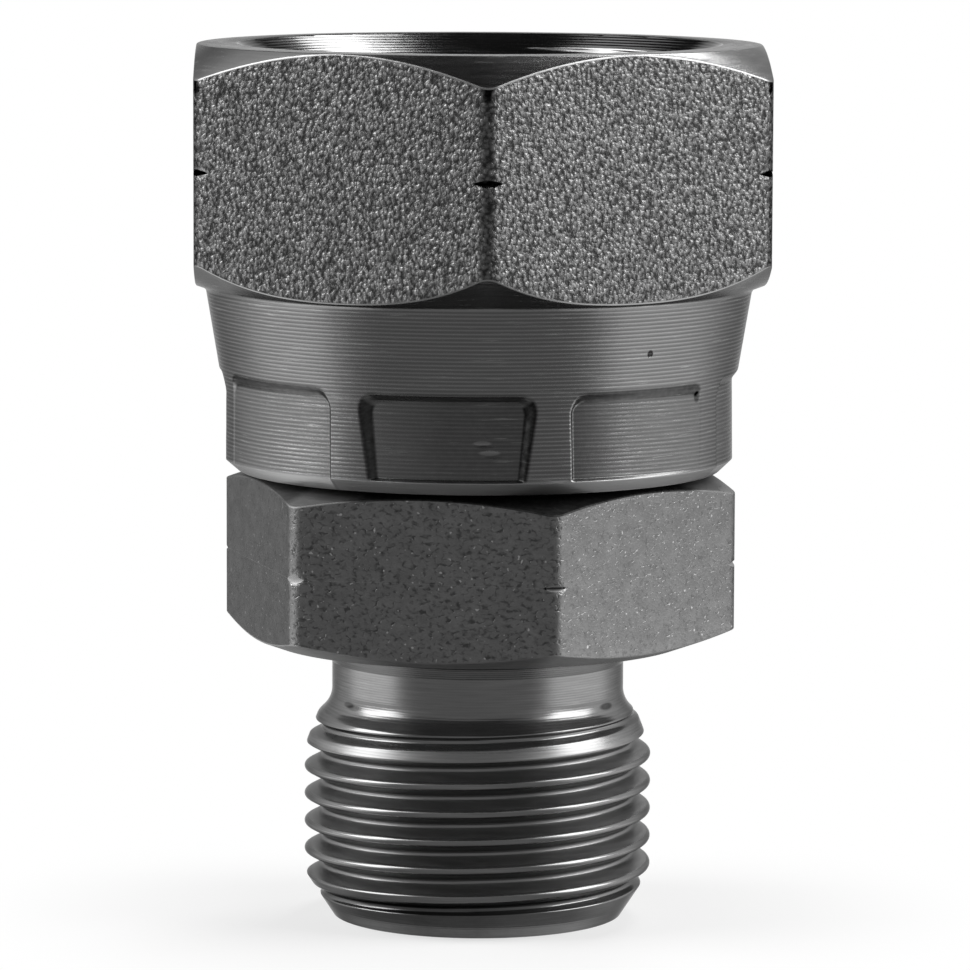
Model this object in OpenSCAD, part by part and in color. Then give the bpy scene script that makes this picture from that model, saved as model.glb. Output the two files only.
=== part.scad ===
// Hydraulic swivel adaptor: a threaded male stud with a hexagon body, and a nut that turns on its coned nose.
// The origin is the centre of the male end face, on which the part stands, and +Z runs up to the nut's mouth.
// Both threads are drawn with the section of their turns, as level ridges and not as a helix.

/* [Male stud] */
// Major diameter of the stud's parallel pipe thread, size 3/8
stud_d = 16.66; // [16:0.01:17.6]
// Pitch of that thread, 19 turns per inch
stud_pitch = 1.337; // [1.2:0.001:1.6]
// Length of the stud from its end face to the body hexagon
stud_len = 13.3; // [12.5:0.1:20]
// Diameter of the flat ring left on the end face by the lead-in chamfer
stud_face_d = 13.9; // [13.2:0.1:15]
// Length of the lead-in chamfer
stud_chamfer_len = 2.1; // [1.4:0.1:4]
// Diameter of the thread undercut next to the hexagon
neck_d = 14; // [13:0.1:15.5]
// Length of the undercut, with its fillet
neck_len = 2.85; // [1.8:0.05:4]
// Radius of the fillet between undercut and hexagon
neck_fillet = 1.3; // [0.4:0.1:1.5]

/* [Body hexagon] */
// Width across the flats: a 22 mm bar at the low end of its tolerance
body_af = 21.9; // [21.5:0.1:24]
// Diameter over the turned corners
body_corner_d = 25; // [24.2:0.1:25.2]
// Height between the two faces
body_hex_h = 8.1; // [6:0.1:14]
// Diameter of the flat part of the lower face, towards the stud
body_low_face_d = 20.1; // [19:0.1:21]
// Diameter of the flat part of the upper face, towards the nut
body_top_face_d = 21.3; // [20.8:0.1:21.8]
// Slope of the lower corner chamfer
body_low_slope = 23.5; // [15:0.5:35]
// Slope of the upper corner chamfer
body_top_slope = 19.3; // [12:0.1:30]
// Height of the corner nicks above the lower face
body_nick_up = 4.05; // [3:0.05:5]
// Diameter at the bottom of the body's corner nicks
body_nick_d = 24.68; // [24:0.01:24.9]

/* [Stem inside the nut] */
// Length of the stem from the hexagon's upper face to the top of its flange
stem_len = 6.9; // [6.5:0.1:8]
// Diameter of the stem below the flange
stem_d = 19.6; // [18.5:0.1:20.2]
// Diameter of the flange that the crimped lip holds
flange_d = 21.7; // [21.2:0.1:21.9]
// Length of the flange's straight rim
flange_rim = 1.2; // [0.8:0.1:2]
// Diameter of the coned nose at its base, on the flange
nose_base_d = 17.8; // [17.2:0.1:18.2]
// Diameter of the coned nose at its tip
nose_tip_d = 12.8; // [12.4:0.1:13.8]
// Full angle of both cone seats
seat_angle = 60; // [56:1:64]

/* [Waterway] */
// Bore drilled from the male end
male_bore_d = 9.5; // [7:0.1:10.4]
// Diameter of the cone seat at the mouth of the male end
male_seat_d = 12.4; // [11.6:0.1:12.8]
// Bore drilled from the nose
nose_bore_d = 11; // [10.6:0.1:11.4]
// Depth of the bore drilled from the nose
nose_bore_len = 12; // [8:0.5:16]
// Point angle of the drill that made it
drill_angle = 118; // [90:1:140]

/* [Nose ring] */
// Thickness of the sealing ring
ring_t = 1.5; // [1:0.1:1.6]
// Height of the ring's centre above the flange
ring_up = 1.9; // [1.6:0.05:2.3]
// How far the ring stands out of the cone
ring_proud = 0.35; // [0.15:0.05:0.45]
// Width of the ring's groove more than the ring's thickness
ring_side_play = 0.4; // [0.2:0.05:0.6]

/* [Nut hexagon] */
// Width across the nut's flats: a 27 mm bar within its tolerance
nut_af = 26.9; // [26.6:0.1:30]
// Diameter over the nut's turned corners
nut_corner_d = 30.77; // [30:0.01:31]
// Height of the nut's hexagon, with its lower chamfer
nut_hex_h = 11.75; // [9.5:0.05:16]
// Diameter of the flat ring on the open face
nut_face_d = 26.78; // [25.5:0.01:26.9]
// Slope of the upper corner chamfer
nut_top_slope = 34; // [20:0.5:40]
// Slope of the lower corner chamfer, towards the skirt
nut_low_slope = 36.3; // [25:0.1:45]
// Distance from the open face down to the corner nicks
nut_nick_down = 5.67; // [4:0.01:6.5]
// Diameter at the bottom of the nut's corner nicks
nut_nick_d = 30.26; // [29.6:0.01:30.8]
// Turn of the nut on the body as it stands
nut_turn = 44.9; // [0:0.1:60]

/* [Nut mouth] */
// Diameter inside the crests of the mouth's parallel pipe thread, size 1/2
mouth_thread_d = 18.631; // [18.4:0.001:19.2]
// Pitch of that thread, 14 turns per inch
mouth_pitch = 1.814; // [1.6:0.001:1.9]
// Diameter of the relief behind the thread
relief_d = 21.2; // [20.9:0.1:21.4]
// Diameter of the countersink at the open face
mouth_d = 23.1; // [21.4:0.1:24.5]
// Full angle of the countersink
mouth_angle = 120; // [90:1:130]

/* [Crimped skirt] */
// Length of the skirt from the hexagon's chamfer to the nut's lower end
skirt_len = 8.5; // [7.8:0.1:10]
// Diameter of the skirt where it leaves the hexagon
skirt_d = 26.1; // [25:0.1:26.5]
// Diameter of the straight collar at its lower end
collar_d = 24.5; // [23.8:0.02:25]
// Height of the collar
collar_h = 3.95; // [3:0.05:5]
// Diameter of the nut's lower end face
skirt_end_d = 23.1; // [22:0.1:23.6]
// Height of the chamfer round that face
skirt_end_chamfer = 0.6; // [0.2:0.05:0.9]
// Number of crimping pads pressed into the collar
pad_count = 8; // [6:1:9]
// Width of a pad
pad_w = 7.9; // [5:0.1:8]
// Height of a pad's top edge above the lower end
pad_top = 4.6; // [3.5:0.1:5.5]
// Depth of a pad at its top edge, from the collar
pad_depth_top = 0.34; // [0.2:0.02:0.5]
// Depth of a pad at the lower end
pad_depth_low = 0.2; // [0.06:0.02:0.3]
// Radius of a pad's upper corners
pad_corner = 0.7; // [0.3:0.1:1.5]
// Turn of the pads against the nut's corners
pad_turn = 7; // [0:0.5:45]

/* [Clearances] */
// Gap between the body's upper face and the nut's lower end
end_gap = 0.2; // [0.1:0.05:0.5]
// Gap all round the stem inside the crimped lip
lip_gap = 0.25; // [0.1:0.05:0.4]
// Gap all round the flange inside the nut
flange_gap = 0.15; // [0.05:0.05:0.3]
// Free height under the flange before the lip holds it
lip_float = 0.35; // [0.2:0.05:0.6]
// Free height above the flange before the nut's ledge meets it
ledge_float = 0.4; // [0.2:0.05:0.8]
// Free height between the tip of the nose and the first turn of the mouth's thread
tip_gap = 0.3; // [0.1:0.05:1]
// Gap between the ring and the floor of its groove
ring_seat_gap = 0.02; // [0.01:0.01:0.05]

/* [Hidden] */
$fn = 96;

// Flats of both hexagons, and how far a cut runs past the face that it opens
hex_sides = 6;
cut = 1;
// Depth of a turn, and half the width of a crest or a root, as shares of the pitch of a 55 degree thread
turn_depth = 0.64;
turn_land = 1 / 12;
// Small broken edge on the flange, the bore mouths and the lip, and the width of a nick at the corner
edge = 0.3;
nick_h = 0.3;
steel = [0.42, 0.42, 0.43];
dark_steel = [0.36, 0.36, 0.37];
rubber = [0.05, 0.05, 0.05];

// Radii of the turned outlines
stud_r = stud_d / 2;
neck_r = neck_d / 2;
stem_r = stem_d / 2;
flange_r = flange_d / 2;
nose_base_r = nose_base_d / 2;
nose_tip_r = nose_tip_d / 2;
male_bore_r = male_bore_d / 2;
nose_bore_r = nose_bore_d / 2;
male_seat_r = male_seat_d / 2;
body_corner_r = body_corner_d / 2;
nut_corner_r = nut_corner_d / 2;
collar_r = collar_d / 2;
mouth_r = mouth_d / 2;
thread_r = mouth_thread_d / 2;
relief_r = relief_d / 2;
lip_r = stem_r + lip_gap;
skirt_bore_r = flange_r + flange_gap;

// Heights of the body, from the male end face up
body_low_z = stud_len;
body_top_z = body_low_z + body_hex_h;
neck_low_z = body_low_z - neck_len;
flange_top_z = body_top_z + stem_len;
flange_low_z = flange_top_z - flange_rim;
stem_top_z = flange_low_z - (flange_r - stem_r);
tip_z = flange_top_z + (nose_base_r - nose_tip_r) / tan(seat_angle / 2);
male_seat_z = (male_seat_r - male_bore_r) / tan(seat_angle / 2);
nose_bore_z = tip_z - nose_bore_len;
drill_point_z = nose_bore_z - (nose_bore_r - male_bore_r) / tan(drill_angle / 2);

// The ring and its groove
ring_z = flange_top_z + ring_up;
ring_r = nose_base_r - ring_up * tan(seat_angle / 2) + ring_proud - ring_t / 2;
groove_floor_r = ring_r - ring_t / 2 - ring_seat_gap;
groove_w = ring_t + ring_side_play;

// Heights of the nut, which follow the body through the clearances
nut_low_z = body_top_z + end_gap;
nut_hex_z = nut_low_z + skirt_len;
nut_top_z = nut_hex_z + nut_hex_h;
collar_top_z = nut_low_z + collar_h;
lip_top_z = stem_top_z - lip_float + lip_gap;
ledge_z = flange_top_z + ledge_float;
thread_low_z = tip_z + tip_gap;
thread_top_z = nut_top_z - (mouth_r - thread_r) / tan(mouth_angle / 2);

// Grooves of both threads: the height of the first one, and how many there are up to the last wall
stud_groove_z = stud_chamfer_len - stud_pitch / 2;
stud_grooves = 1 + floor((neck_low_z - (stud_r - neck_r) - stud_groove_z) / stud_pitch);
mouth_groove_z = thread_low_z + mouth_pitch / 2;
mouth_grooves = floor((thread_top_z - thread_low_z) / mouth_pitch);

// Hexagon bar between two heights, with its corners turned round and chamfered to a flat ring at each face
module turned_hexagon(af, corner_r, low_z, top_z, low_face_r, top_face_r, low_slope, top_slope) {
  low_chamfer = (corner_r - low_face_r) * tan(low_slope);
  top_chamfer = (corner_r - top_face_r) * tan(top_slope);
  intersection() {
    translate([0, 0, low_z])
      cylinder(r = af / 2 / cos(180 / hex_sides), h = top_z - low_z, $fn = hex_sides);
    rotate_extrude() polygon([
      [0, low_z],
      [low_face_r, low_z],
      [corner_r, low_z + low_chamfer],
      [corner_r, top_z - top_chamfer],
      [top_face_r, top_z],
      [0, top_z]
    ]);
  }
}

// V groove turned round a hexagon so shallow that it only nicks the corners
module corner_nicks(corner_r, floor_r, z) {
  flare = nick_h / 2 / (corner_r - floor_r);
  rotate_extrude() polygon([
    [floor_r, z],
    [corner_r + cut, z + flare * (corner_r + cut - floor_r)],
    [corner_r + cut, z - flare * (corner_r + cut - floor_r)]
  ]);
}

// Section of the grooves between the turns, one above the other. They open towards +X, and their roots lie a
// turn's depth inside the line x = 0
module thread_grooves(pitch, count) {
  open_half = pitch / 2 - pitch * turn_land;
  root_half = pitch * turn_land;
  for (i = [0 : count - 1])
    translate([0, i * pitch]) polygon([
      [-pitch * turn_depth, -root_half],
      [0, -open_half],
      [cut, -open_half],
      [cut, open_half],
      [0, open_half],
      [-pitch * turn_depth, root_half]
    ]);
}

// Threaded stud with its lead-in chamfer, its undercut and the fillet at the hexagon
module stud() {
  rotate_extrude() difference() {
    polygon([
      [0, 0],
      [stud_face_d / 2, 0],
      [stud_r, stud_chamfer_len],
      [stud_r, neck_low_z - (stud_r - neck_r)],
      [neck_r, neck_low_z],
      [neck_r, body_low_z + cut],
      [0, body_low_z + cut]
    ]);
    translate([stud_r, stud_groove_z]) thread_grooves(stud_pitch, stud_grooves);
  }
  rotate_extrude() difference() {
    translate([neck_r - cut, body_low_z - neck_fillet]) square([cut + neck_fillet, neck_fillet + cut]);
    translate([neck_r + neck_fillet, body_low_z - neck_fillet]) circle(r = neck_fillet);
  }
}

// Stem above the hexagon: neck, flange with its sloping back, and the coned nose
module stem() {
  rotate_extrude() polygon([
    [0, body_top_z - cut],
    [stem_r, body_top_z - cut],
    [stem_r, stem_top_z],
    [flange_r, flange_low_z],
    [flange_r, flange_top_z - edge],
    [flange_r - edge, flange_top_z],
    [nose_base_r, flange_top_z],
    [nose_tip_r, tip_z],
    [0, tip_z]
  ]);
}

// Waterway: cone seat at the male end, the two bores and the drill point between them
module waterway() {
  rotate_extrude() polygon([
    [0, -cut],
    [male_seat_r + cut * tan(seat_angle / 2), -cut],
    [male_bore_r, male_seat_z],
    [male_bore_r, drill_point_z],
    [nose_bore_r, nose_bore_z],
    [nose_bore_r, tip_z - edge],
    [nose_bore_r + edge + cut, tip_z + cut],
    [0, tip_z + cut]
  ]);
}

module ring_groove() {
  translate([0, 0, ring_z - groove_w / 2]) difference() {
    cylinder(r = flange_r, h = groove_w);
    translate([0, 0, -cut]) cylinder(r = groove_floor_r, h = groove_w + 2 * cut);
  }
}

module adapter_body() {
  color(dark_steel) difference() {
    union() {
      stud();
      turned_hexagon(
        body_af, body_corner_r, body_low_z, body_top_z,
        body_low_face_d / 2, body_top_face_d / 2, body_low_slope, body_top_slope
      );
      stem();
    }
    corner_nicks(body_corner_r, body_nick_d / 2, body_low_z + body_nick_up);
    ring_groove();
    waterway();
  }
}

// Turned outside of the skirt: end chamfer, straight collar, and the cone up to the hexagon
module skirt() {
  rotate_extrude() polygon([
    [0, nut_low_z],
    [skirt_end_d / 2, nut_low_z],
    [collar_r, nut_low_z + skirt_end_chamfer],
    [collar_r, collar_top_z],
    [skirt_d / 2, nut_hex_z],
    [skirt_d / 2, nut_hex_z + edge],
    [0, nut_hex_z + edge]
  ]);
}

// Inside of the nut: crimped lip, room for the flange, ledge, relief, thread wall and countersink
module nut_inside() {
  rotate_extrude() polygon([
    [0, nut_low_z - cut],
    [lip_r + edge + cut, nut_low_z - cut],
    [lip_r, nut_low_z + edge],
    [lip_r, lip_top_z],
    [skirt_bore_r, lip_top_z + skirt_bore_r - lip_r],
    [skirt_bore_r, ledge_z],
    [relief_r, ledge_z],
    [relief_r, thread_low_z - (relief_r - thread_r)],
    [thread_r, thread_low_z],
    [thread_r, thread_top_z],
    [mouth_r + cut * tan(mouth_angle / 2), nut_top_z + cut],
    [0, nut_top_z + cut]
  ]);
  rotate_extrude() translate([thread_r, mouth_groove_z]) mirror([1, 0]) thread_grooves(mouth_pitch, mouth_grooves);
}

// Outline of one pad, seen from outside, with its two upper corners rounded
module pad_outline() {
  translate([-pad_w / 2, -cut]) square([pad_w, pad_top - pad_corner + cut]);
  translate([pad_corner - pad_w / 2, -cut]) square([pad_w - 2 * pad_corner, pad_top + cut]);
  for (side = [-1, 1])
    translate([side * (pad_w / 2 - pad_corner), pad_top - pad_corner]) circle(r = pad_corner);
}

// The pads as cutters: each reaches in to a slightly coned floor, deeper at the top than at the lower end
module crimp_pads() {
  floor_low_r = collar_r - pad_depth_low;
  floor_top_r = collar_r - pad_depth_top;
  floor_taper = (floor_low_r - floor_top_r) / pad_top;
  translate([0, 0, nut_low_z]) difference() {
    for (i = [0 : pad_count - 1])
      rotate(pad_turn + i * 360 / pad_count)
        translate([lip_r, 0, 0]) rotate([90, 0, 90]) linear_extrude(collar_r + cut - lip_r) pad_outline();
    translate([0, 0, -2 * cut]) cylinder(
      r1 = floor_low_r + 2 * cut * floor_taper,
      r2 = floor_top_r - cut * floor_taper,
      h = pad_top + 3 * cut
    );
  }
}

module swivel_nut() {
  color(steel) rotate(nut_turn) difference() {
    union() {
      turned_hexagon(
        nut_af, nut_corner_r, nut_hex_z, nut_top_z,
        skirt_d / 2, nut_face_d / 2, nut_low_slope, nut_top_slope
      );
      skirt();
    }
    corner_nicks(nut_corner_r, nut_nick_d / 2, nut_top_z - nut_nick_down);
    crimp_pads();
    nut_inside();
  }
}

// Sealing ring stretched into the groove of the nose
module nose_o_ring() {
  color(rubber) translate([0, 0, ring_z]) rotate_extrude() translate([ring_r, 0]) circle(d = ring_t);
}

adapter_body();
swivel_nut();
nose_o_ring();
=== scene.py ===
import math

import bmesh
import bpy
import numpy as np
from mathutils import Matrix, Vector


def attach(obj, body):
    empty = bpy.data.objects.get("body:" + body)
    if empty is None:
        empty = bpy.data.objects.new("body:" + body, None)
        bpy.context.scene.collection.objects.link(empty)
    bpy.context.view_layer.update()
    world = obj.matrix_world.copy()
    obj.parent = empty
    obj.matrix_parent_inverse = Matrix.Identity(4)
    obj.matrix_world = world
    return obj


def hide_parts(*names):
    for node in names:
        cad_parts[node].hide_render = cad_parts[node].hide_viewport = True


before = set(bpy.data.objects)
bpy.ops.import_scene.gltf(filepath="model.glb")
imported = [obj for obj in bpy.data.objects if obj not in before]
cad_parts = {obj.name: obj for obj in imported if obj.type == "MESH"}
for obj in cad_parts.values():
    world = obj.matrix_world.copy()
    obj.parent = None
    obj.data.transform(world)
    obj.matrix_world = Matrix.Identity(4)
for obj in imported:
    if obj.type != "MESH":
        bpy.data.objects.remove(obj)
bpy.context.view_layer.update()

# Sizes are in millimetres and angles in degrees. The meshes are scaled to metres when they are made.
MM = 0.001
FULL_TURN = 2 * math.pi

# Camera, as fitted to the photograph: its azimuth round the part, and its place in front of the axis
VIEW_AZIMUTH = 13.33
CAMERA_SIDE = 0.32
CAMERA_DISTANCE = 276.15
CAMERA_HEIGHT = 53.74
CAMERA_PITCH = 6.82
CAMERA_ROLL = 0.2
CAMERA_NEAR = 10
CAMERA_FAR = 50000
SENSOR_WIDTH = 36.0
FOCAL_PIXELS = 5800.57
PICTURE_PIXELS = 970

# Slopes of the 60 degree cones and of a drill's point
SEAT_SLOPE = math.tan(math.radians(30))
MOUTH_SLOPE = math.tan(math.radians(60))
DRILL_SLOPE = math.tan(math.radians(59))

# Radii of the body
STUD_R = 8.33
STUD_FACE_R = 6.95
STUD_FACE_INNER_R = 6.85
NECK_R = 7.0
RUN_OUT_R = 7.66
STEM_R = 9.8
FLANGE_R = 10.85
NOSE_BASE_R = 8.9
NOSE_TIP_R = 6.4
MALE_BORE_R = 4.75
MALE_SEAT_R = 6.2
NOSE_BORE_R = 5.5

# Heights of the body, from the male end face up
STUD_CHAMFER = 2.1
RUN_OUT_Z = 9.81
RUN_OUT_TOP = 11.0
NECK_KINK = 12.3
BODY_LOW = 13.3
BODY_TOP = 21.4
FLANGE_LOW = 27.1
FLANGE_TOP = 28.3
NOSE_TIP = FLANGE_TOP + (NOSE_BASE_R - NOSE_TIP_R) / SEAT_SLOPE
NOSE_BORE_DEPTH = 12
NOSE_BORE_LOW = NOSE_TIP - NOSE_BORE_DEPTH

# The neck's flare below the hexagon, as (widening, height) from its kink, and the thread's run-out
NECK_FLARE = (0.4, 0.6)
NECK_FLARE_END = 1.15
RUN_OUT_FILLET = 1.4
RUN_OUT_SLOPE = 0.38

# Sealing ring and its groove
RING_ABOVE_FLANGE = 1.9
RING_PROUD = 0.35
RING_SECTION_R = 0.75
RING_Z = FLANGE_TOP + RING_ABOVE_FLANGE
RING_R = NOSE_BASE_R - RING_ABOVE_FLANGE * SEAT_SLOPE + RING_PROUD - RING_SECTION_R
GROOVE_GAP = 0.02
GROOVE_FLOOR_R = RING_R - RING_SECTION_R - GROOVE_GAP
GROOVE_HALF_W = 0.95

# Radii of the nut, and the turn of its corners
NUT_TURN = 44.9
COLLAR_R = 12.25
COLLAR_END_R = 11.55
SKIRT_R = 13.05
LIP_R = 10.05
SKIRT_BORE_R = 11.0
RELIEF_R = 10.6
MOUTH_R = 11.55

# Heights of the nut
NUT_LOW = 21.6
COLLAR_CHAMFER = 0.6
COLLAR_LOW = NUT_LOW + COLLAR_CHAMFER
COLLAR_TOP = 25.55
LIP_TOP = 25.95
LIP_LEAD_IN = 0.3
LEDGE = 28.7
NUT_HEX_LOW = 30.3
NUT_TOP = 41.85
COLLAR_BEND = 2.0

# Pipe threads: pitch, and radius under the crests of the female one. The male one's crest is at the height
# MALE_CREST_AT at the angle 0.
MALE_PITCH = 1.337
MALE_CREST_AT = 6.419
FEMALE_PITCH = 1.814
FEMALE_MINOR_R = 9.3155
RELIEF_PAST_NOSE = 0.3
FEMALE_LOW = NOSE_TIP + RELIEF_PAST_NOSE - (RELIEF_R - FEMALE_MINOR_R)
THREAD_DEPTH = 0.640327
THREAD_ROUND = 0.137329
FLANK = math.radians(27.5)
ROWS_PER_PITCH = 28

# Rounded edges, and the share of a short side that a round may take
EDGE = 0.1
NUT_TOP_EDGE = 0.16
NUT_LOW_EDGE = 0.4
SOFT_EDGE = 0.3
ARC_STEPS = 4
LARGEST_REACH = 0.48

# Hexagons: size across flats, radius of the corners and turn; then the chamfers at both ends, each from
# the radius and the height where it starts, the lower one with its rise and power outwards and the place
# of the surface before it, the upper one with its slope; then height and floor radius of the corner nicks
BODY_HEX = {
    "af": 21.9, "corner": 0.9, "turn": 0.0,
    "low": BODY_LOW, "low_r": 10.05, "low_rise": 0.364, "low_power": 1.0,
    "low_edge": EDGE, "low_from": (0.5, 0.0),
    "top": BODY_TOP, "top_r": 10.65, "top_slope": 19.3, "top_edge": EDGE,
    "nick": 17.35, "nick_r": 12.34,
}
NUT_HEX = {
    "af": 26.9, "corner": 0.94, "turn": NUT_TURN,
    "low": NUT_HEX_LOW, "low_r": SKIRT_R, "low_rise": 0.426, "low_power": 1.5,
    "low_edge": NUT_LOW_EDGE, "low_from": (0.1, 0.6),
    "top": NUT_TOP, "top_r": 13.39, "top_slope": 34.0, "top_edge": NUT_TOP_EDGE,
    "nick": 36.18, "nick_r": 15.13,
}
NICK_HALF_H = 0.15
NICK_FLOOR_HALF_H = 0.003
NEAR_NICK = 0.3
NEAR_CHAMFER = 0.6
END_RING_W = 0.5

# Crimping pads of the collar: turn of the first one against the nut's corner, then for each pad its
# shift in degrees, half its width at the top and at the lower end, its depth at the left and the right,
# the width of its side walls, how far its top lies below the others', and whether it has a rim below
PAD_TURN = 7.0
PADS = [
    (0.0, 4.0, 3.6, 0.3, 0.25, 0.3, 0.0, 0),
    (0.3, 3.95, 3.7, 0.25, 0.3, 0.26, 0.0, 0),
    (-0.4, 4.0, 3.5, 0.34, 0.3, 0.4, 0.05, 1),
    (0.2, 3.9, 3.8, 0.2, 0.3, 0.26, 0.0, 0),
    (-0.9, 3.85, 3.9, 0.04, 0.26, 0.3, 0.0, 0),
    (-0.6, 4.05, 3.45, 0.4, 0.4, 0.62, 0.12, 1),
    (0.6, 3.97, 3.88, 0.32, 0.0, 0.28, 0.1, 1),
    (1.1, 3.95, 3.85, 0.14, 0.16, 0.26, 0.0, 0),
]
PAD_TOP = 4.6
PAD_CORNER = 0.8
PAD_WALL_TOP = 0.55
PAD_WALL_TURN = 0.8
PAD_RIM = (0.02, 0.13)
PAD_LOW_DEPTH_SHARE = 0.65
PAD_LOW_WALL_SHARE = 0.6
SHALLOW_PAD = 0.1

# Columns round the pieces, the finer ones at corners and pads as (half width, step), and the rows of the
# skirt as steps at the pads' rims, on their floors, at their tops and on the cone
NUT_COLUMNS = 360
NUT_CORNER_COLUMNS = (3.2, 0.2)
PAD_SIDE_COLUMNS = (3.4, 0.25)
INNER_COLUMNS = 240
STUD_COLUMNS = 300
BODY_HEX_COLUMNS = 240
BODY_CORNER_COLUMNS = (3.4, 0.2)
STEM_COLUMNS = 180
RING_COLUMNS = 120
RING_SECTION_STEPS = 16
CLOSEST_COLUMNS = 0.03
MERGE_DISTANCE = 1e-4
RIM_ROWS, FLOOR_ROWS, PAD_TOP_ROWS, CONE_ROWS = 0.03, 0.3, 0.05, 0.6

# Painted shade on the walls of each pad at the left, the right and the top, and how far it reaches
PAD_WALL_SHADE = [
    (0.4, 0.2, 0.3), (0.1, 0.3, 0.3), (0.5, 0.4, 0.4), (0.2, 0.2, 0.3),
    (0.05, 0.4, 0.65), (0.82, 0.88, 0.3), (0.0, 0.1, 0.7), (0.35, 0.1, 0.2),
]
WALL_SHADE_PAST = 0.08
WALL_SHADE_FADE = 0.14
WALL_SHADE_TURN = 0.3

# Painted shade by azimuth from the camera's side, to the right: pads' floors, chamfers and the stud's end
PAD_FLOOR_SHADE = [
    (-70, 0.05), (-30, 0.05), (-22, 0.2), (-8, 0.45), (11, 0.48), (18, 0.3), (40, 0.2), (60, 0.15), (66, 0),
]
NUT_CHAMFER_SHADE = [(-180, 0.0), (-150, 0.3), (-100, 0.3), (-90, 0.45), (-68, 0.45), (-54, 0.0)]
BODY_TOP_SHADE = [
    (-70, 0.5), (-48, 0.6), (-45, 0.15), (-34, 0.3), (-28, 0.85), (60, 0.85), (66, 0.4), (90, 0.3),
]
BODY_LOW_SHADE = [
    (-90, 0.0), (-45, 0.0), (-32, 0.1), (-22, 0.45), (12, 0.45), (18, 0.1), (26, 0.1), (40, 0.3),
]
STUD_END_SHADE = [(-80, 0.1), (-55, 0.15), (-20, 0.55), (0, 0.5), (20, 0.25), (40, 0.05), (60, 0.0)]
STUD_END_TOP = 1.9

# Painted shade in the corner nicks, as half its height and half its length, and the only dark nick of the
# body
NUT_NICK_SHADE = (0.17, 0.74)
BODY_NICK_SHADE = (0.06, 0.7)
DARK_BODY_NICK = -60

# Darkness of the pits in the body's flats: all of them, and more on the flat that faces the camera
PITS_DARK = 0.22
FRONT_FLAT = (-43.8, 17.1)
FRONT_PITS_MORE = 0.38

# Dull places, also a little lighter in colour as painted light: the nut's lower chamfer, and the grooves of
# the stud's thread between two heights
CHAMFER_DULL_AND_LIGHT = 0.6
GROOVE_DULL_AND_LIGHT = 0.4
GROOVE_DULL_LOW = 1.6
GROOVE_DULL_TOP = RUN_OUT_Z - 0.3

# Marks of wear, and lighter and darker lines of painted light and shade on the middle pad's bulge: azimuth,
# radius, height, half widths along and up, darkening (lightening below 0), and rise
SKIRT_MARKS = [
    (38.7, 12.68, 28.0, (0.18, 0.2), 0.85, -6.0),
    (56.3, 12.2, 25.72, (0.3, 0.34), 0.5, 0.0),
    (0.9, 11.9, 24.05, (0.5, 0.13), -0.6, 2.0),
    (1.5, 11.9, 23.87, (0.5, 0.09), 0.15, -1.5),
    (2.5, 11.9, 23.6, (0.6, 0.14), -0.6, 2.0),
    (3.4, 11.9, 23.4, (0.5, 0.09), 0.15, -1.5),
]
STUD_MARKS = [
    (-60, 7.1, 10.58, (0.6, 0.18), 0.4, 0.0),
    (-56, 7.1, 10.5, (0.75, 0.16), 0.35, 0.0),
    (60, 7.1, 10.56, (0.75, 0.2), 0.6, 0.0),
]

# Heights between which the nut's corners grow darkest, and those of a surface with rings all over
DARK_CORNER_TOP = (39.7, 39.95)
EVERYWHERE = (-100, 100)

# Light: strength of the world's fill, grey of the cards, and tone of metal at a grazing angle
WORLD_FILL = 0.2
FRONT_GREY = 0.31
ROOF_GREY = 0.02
LEFT_REFLECTION_GLOW = 1.8
RIGHT_REFLECTION_GLOW = 1.6
GRAZING_TINT = 0.35

# Outlines of the cards, as (radius, height), and the columns that a card has
FLOOR_TO_WALL = [(7.4, 0.05), (17, 0.3), (170, 0.3), (200, 12), (220, 40), (220, 330)]
LOW_STRIP = [(24, 0.5), (100, 0.5)]
ROOF = [(0.5, 330), (190, 330)]
BACK_WALL = [(190, 330), (240, 300), (255, 200), (258, 130)]
CARD_COLUMNS = 64

# Floor: half its side, its grey and roughness, the distances between which it turns to plain white, and
# the share of white that it has near the part
FLOOR_HALF = 4000
FLOOR_GREY = 0.93
FLOOR_ROUGH = 0.9
FLOOR_WHITE_FROM = 9
FLOOR_WHITE_TO = 26
FLOOR_WHITE_NEAR = 0.6


def rounded(points, steps=ARC_STEPS):
    """Outline of (r, z, radius) points with rounded corners. r and z may be arrays, one value a column."""
    rows = []
    last = len(points) - 1
    for i, (r, z, radius) in enumerate(points):
        if radius == 0 or i in (0, last):
            rows.append((r, z))
            continue
        here = np.array(np.broadcast_arrays(r, z), float)
        before = np.array(np.broadcast_arrays(*points[i - 1][:2]), float)
        after = np.array(np.broadcast_arrays(*points[i + 1][:2]), float)
        if here.ndim == 1 and max(before.ndim, after.ndim) == 2:
            here = here[:, None]
        before = before[:, None] if before.ndim == 1 and here.ndim == 2 else before
        after = after[:, None] if after.ndim == 1 and here.ndim == 2 else after
        back_length = np.linalg.norm(before - here, axis=0)
        ahead_length = np.linalg.norm(after - here, axis=0)
        back = (before - here) / back_length
        ahead = (after - here) / ahead_length
        half = np.arccos(np.clip((back * ahead).sum(axis=0), -1, 1)) / 2
        reach = np.minimum(radius / np.tan(half), LARGEST_REACH * np.minimum(back_length, ahead_length))
        fitting = reach * np.tan(half)
        middle = (back + ahead) / np.linalg.norm(back + ahead, axis=0)
        centre = here + middle * fitting / np.sin(half)
        start = here + back * reach - centre
        end = here + ahead * reach - centre
        sweep = np.pi - 2 * half
        for k in range(steps + 1):
            t = k / steps
            point = centre + (start * np.sin((1 - t) * sweep) + end * np.sin(t * sweep)) / np.sin(sweep)
            rows.append((point[0], point[1]))
    return rows


def even(count):
    """Angles of evenly spaced columns."""
    return np.arange(count) * 360 / count


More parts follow.
